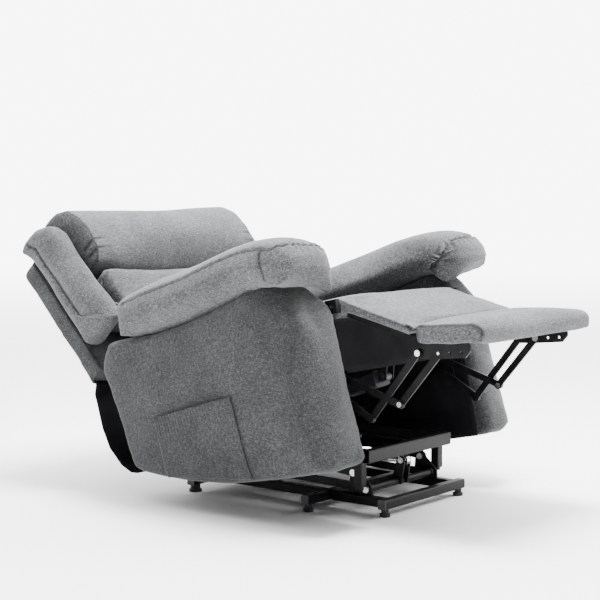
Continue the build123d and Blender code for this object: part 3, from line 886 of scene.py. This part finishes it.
# ---------------------------------------------------------------- cloth sheets
def make_sheet(name, grid, thickness, material):
    """Thin sheet through a grid of points (rows of equal length)."""
    rows, cols = len(grid), len(grid[0])
    mesh = bpy.data.meshes.new(name)
    faces = [(i * cols + j, i * cols + j + 1, (i + 1) * cols + j + 1, (i + 1) * cols + j)
             for i in range(rows - 1) for j in range(cols - 1)]
    mesh.from_pydata([tuple(p) for row in grid for p in row], [], faces)
    mesh.update()
    obj = new_object(name, mesh)
    mod = obj.modifiers.new("thick", "SOLIDIFY")
    mod.thickness = thickness
    mod.offset = 0
    bake_modifiers(obj)
    obj.data.materials.append(material)
    shade_smooth(obj)
    return obj


# Dust cover from the rear bottom rail up to the foot of the back shell
COVER_COLS, COVER_STEPS = 48, 5
cover_path = [(0.640, 0.207), (0.664, 0.211), (0.699, 0.235), (0.734, 0.285), (0.750, 0.343),
              (0.756, 0.400), (0.760, 0.440)]
path_points = [frame_point(0, back, up) for back, up in cover_path]
path_points += [frame_point(0, 0.384, 0.797, BACK_REAR, BACK_UP),
                frame_point(0, 0.380, 0.812, BACK_REAR, BACK_UP)]
dense = []
for first, second in zip(path_points, path_points[1:]):
    for k in range(COVER_STEPS):
        dense.append(first.lerp(second, k / COVER_STEPS))
dense.append(path_points[-1])
half_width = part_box("rear_dust_cover")[1].x - 0.002
cover_grid = []
for i, point in enumerate(dense):
    row = []
    for j in range(COVER_COLS + 1):
        x = -half_width + 2 * half_width * j / COVER_COLS
        wave = 0.004 * noise.noise(Vector((x * 7, i * 0.12, 3.1))) if 3 < i < len(dense) - 3 else 0
        row.append(Vector((x, point.y + wave, point.z)))
    cover_grid.append(row)
dust = make_sheet("dust_cover_cloth", cover_grid, 0.0016, BLACK_CLOTH)
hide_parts("rear_dust_cover")
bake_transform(dust)

# Black lining on the inner faces of both arms
LINING_ROWS, LINING_COLS = 24, 40
for name_of_side, side_sign in (("right", -1), ("left", 1)):
    arm_low, arm_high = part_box(f"{name_of_side}_arm_panel")
    inner_x = arm_high.x if side_sign < 0 else arm_low.x
    lining_grid = []
    for i in range(LINING_ROWS + 1):
        row = []
        for j in range(LINING_COLS + 1):
            back = -0.024 + 0.63 * j / LINING_COLS
            lower = 0.150 + max(0.0, back - 0.25) ** 2 * 0.45
            up = lower + (0.566 - lower) * i / LINING_ROWS
            sag = 0.0012 * noise.noise(Vector((back * 9, up * 9, side_sign * 4.0)))
            row.append(frame_point(inner_x - side_sign * (0.0026 + sag), back, up))
        lining_grid.append(row)
    piece = make_sheet(f"{name_of_side}_arm_lining", lining_grid, 0.0012, BLACK_CLOTH)
    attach(piece, "chair_body")

# Black cloth closing the seat below the front of its cushion
APRON_ROWS, SHEET_COLS = 12, 60
apron_grid = []
apron_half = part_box("seat_cushion")[1].x - 0.004
for i in range(APRON_ROWS + 1):
    row = []
    for j in range(SHEET_COLS + 1):
        x = apron_half * (2 * j / SHEET_COLS - 1)
        sag = 0.0006 * noise.noise(Vector((x * 12, i * 0.4, 9.0)))
        row.append(frame_point(x, -0.0004 - sag, 0.392 + 0.136 * i / APRON_ROWS))
    apron_grid.append(row)
apron = make_sheet("seat_front_cloth", apron_grid, 0.0012, BLACK_CLOTH)
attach(apron, "chair_body")

# Pocket with an elastic hem, gathered towards the rear, lying on the finished arm side
arm_cover = bpy.data.objects["right_arm_cover"]
cover_co, cover_no = coords(arm_cover.data), normals(arm_cover.data)
facing = np.nonzero(cover_no[:, 0] < -0.6)[0]
face_tree = KDTree(len(facing))
for i in facing:
    face_tree.insert((0, *cover_co[i][1:]), int(i))
face_tree.balance()
POCKET_ROWS, POCKET_COLS = 44, 110
HEM_AT = 0.89
pocket_grid = []
for i in range(POCKET_ROWS + 1):
    f = i / POCKET_ROWS
    row = []
    for j in range(POCKET_COLS + 1):
        g = j / POCKET_COLS
        back = (0.184 + 0.020 * f) * (1 - g) + (0.480 + 0.004 * f) * g
        up = (0.156 + 0.2185 * f) * (1 - g) + (0.188 + 0.163 * f) * g
        place = frame_point(0, back, up)
        surface = np.mean([cover_co[k][0] for _, k, _ in face_tree.find_n(place, 4)])
        swell = math.sin(math.pi * g) ** 0.6 * (0.15 + 0.85 * f) * 0.0075
        gather = max(0.0, f - 0.5) / 0.5 * (0.12 + 0.88 * g ** 2)
        pleat = 0.0024 * math.sin(g * 165 + 2.2 * noise.noise(Vector((g * 9, f, 0)))) * gather
        sag = 0.0025 * noise.noise(Vector((g * 4, f * 3, 7.7)))
        hem = 0.0022 * max(0.0, min(1.0, (f - 0.90) / 0.03))
        place.x = surface - 0.0030 - swell - pleat - hem - sag * math.sin(math.pi * g)
        row.append(place)
    pocket_grid.append(row)
pocket = make_sheet("pocket_cloth", pocket_grid, 0.0022, PAINTED_SHADE_FABRIC)
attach(pocket, "chair_body")
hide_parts("side_pocket")
front_edge = np.array([row[0] + Vector((-0.0012, 0, 0)) for row in pocket_grid])
hem_line = np.array([q + Vector((-0.0010, 0, 0)) for q in pocket_grid[int(POCKET_ROWS * HEM_AT)]])
tube_object("pocket_seam", (front_edge, hem_line), "chair_body", 0.0010)

# Fabric bridge over the crease between calf pad and foot pad
bridge_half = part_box("calf_pad")[1].x - 0.006
bridge_path = [board_point(CALF_ANGLE, -0.030, 0.0165), board_point(CALF_ANGLE, -0.018, 0.0165),
               board_point(CALF_ANGLE, -0.008, 0.0140), board_point(FOOT_ANGLE, 0.000, 0.0125),
               board_point(FOOT_ANGLE, 0.008, 0.0150), board_point(FOOT_ANGLE, 0.018, 0.0195),
               board_point(FOOT_ANGLE, 0.030, 0.0215)]
bridge_grid = []
for point in bridge_path:
    row = []
    for j in range(SHEET_COLS + 1):
        x = bridge_half * (2 * j / SHEET_COLS - 1)
        ripple_height = 0.0012 * noise.noise(Vector((x * 22, 0, 5)))
        row.append(Vector((x, point.y, point.z + ripple_height)))
    bridge_grid.append(row)
bridge = make_sheet("crease_cloth", bridge_grid, 0.0016, PAINTED_LIT_FABRIC)
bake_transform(bridge)

# ---------------------------------------------------------------- stage, light and camera
SKY_LIGHT, SHADE_LIGHT = 8.0, 0.30
SKY_DIRECTION = (0.66, 0.52, 0.54)
FLOOR_HALF, FADE_START, FADE_END = 30, 1.6, 12.0
floor_mesh = bpy.data.meshes.new("floor")
floor_mesh.from_pydata([(x * FLOOR_HALF, y * FLOOR_HALF, 0)
                        for x, y in ((-1, -1), (1, -1), (1, 1), (-1, 1))], [], [(0, 1, 2, 3)])
floor = new_object("floor", floor_mesh)
floor_material, floor_tree, floor_shader = nodes_of("pale_floor")
floor_shader.inputs["Roughness"].default_value = 0.55
floor_shader.inputs["Specular IOR Level"].default_value = 0.0
floor_shader.inputs["Emission Color"].default_value = (1, 1, 1, 1)
# The floor turns into the light of the backdrop with distance, so no horizon shows
floor_place = floor_tree.nodes.new("ShaderNodeTexCoord")
floor_range = floor_tree.nodes.new("ShaderNodeVectorMath")
floor_range.operation = "LENGTH"
floor_tree.links.new(floor_place.outputs["Object"], floor_range.inputs[0])
for low, high, socket in ((0.93, 0.0, "Base Color"), (0.0, SKY_LIGHT, "Emission Strength")):
    fade = floor_tree.nodes.new("ShaderNodeMapRange")
    fade.interpolation_type = "SMOOTHSTEP"
    fade.inputs["From Min"].default_value = FADE_START
    fade.inputs["From Max"].default_value = FADE_END
    fade.inputs["To Min"].default_value = low
    fade.inputs["To Max"].default_value = high
    floor_tree.links.new(floor_range.outputs["Value"], fade.inputs["Value"])
    floor_tree.links.new(fade.outputs["Result"], floor_shader.inputs[socket])
floor_mesh.materials.append(floor_material)

world = bpy.data.worlds.new("studio")
bpy.context.scene.world = world
world.use_nodes = True
world.node_tree.nodes["Background"].inputs["Color"].default_value = (1, 1, 1, 1)
sky = world.node_tree
sky_place = sky.nodes.new("ShaderNodeTexCoord")
sky_side = sky.nodes.new("ShaderNodeVectorMath")
sky_side.operation = "DOT_PRODUCT"
sky_side.inputs[1].default_value = SKY_DIRECTION
sky_range = sky.nodes.new("ShaderNodeMapRange")
sky_range.inputs["From Min"].default_value = 0.15
sky_range.inputs["From Max"].default_value = 0.80
sky_range.inputs["To Min"].default_value = SHADE_LIGHT
sky_range.inputs["To Max"].default_value = SKY_LIGHT
sky.links.new(sky_place.outputs["Generated"], sky_side.inputs[0])
sky.links.new(sky_side.outputs["Value"], sky_range.inputs["Value"])
sky.links.new(sky_range.outputs["Result"], sky.nodes["Background"].inputs["Strength"])


def area_light(name, place, aim, size, power):
    """Soft box aimed at a point."""
    data = bpy.data.lights.new(name, "AREA")
    data.shape = "RECTANGLE"
    data.size, data.size_y = size
    data.energy = power
    obj = bpy.data.objects.new(name, data)
    bpy.context.scene.collection.objects.link(obj)
    obj.location = place
    obj.rotation_euler = (Vector(aim) - Vector(place)).to_track_quat("-Z", "Y").to_euler()


area_light("key", (2.8, -2.2, 3.2), (0, 0, 0.4), (2.0, 2.0), 200)
area_light("top", (0.05, -0.2, 3.4), (0, 0, 0.4), (0.9, 1.4), 370)

camera_data = bpy.data.cameras.new("camera")
camera_data.lens = 88.5
camera_data.sensor_width = 36.0
camera = bpy.data.objects.new("camera", camera_data)
bpy.context.scene.collection.objects.link(camera)
camera.location = (-3.260, -2.214 + ORIGIN_Y, 0.860)
camera.rotation_euler = (math.radians(85.58), 0, math.radians(-51.0))
bpy.context.scene.camera = camera
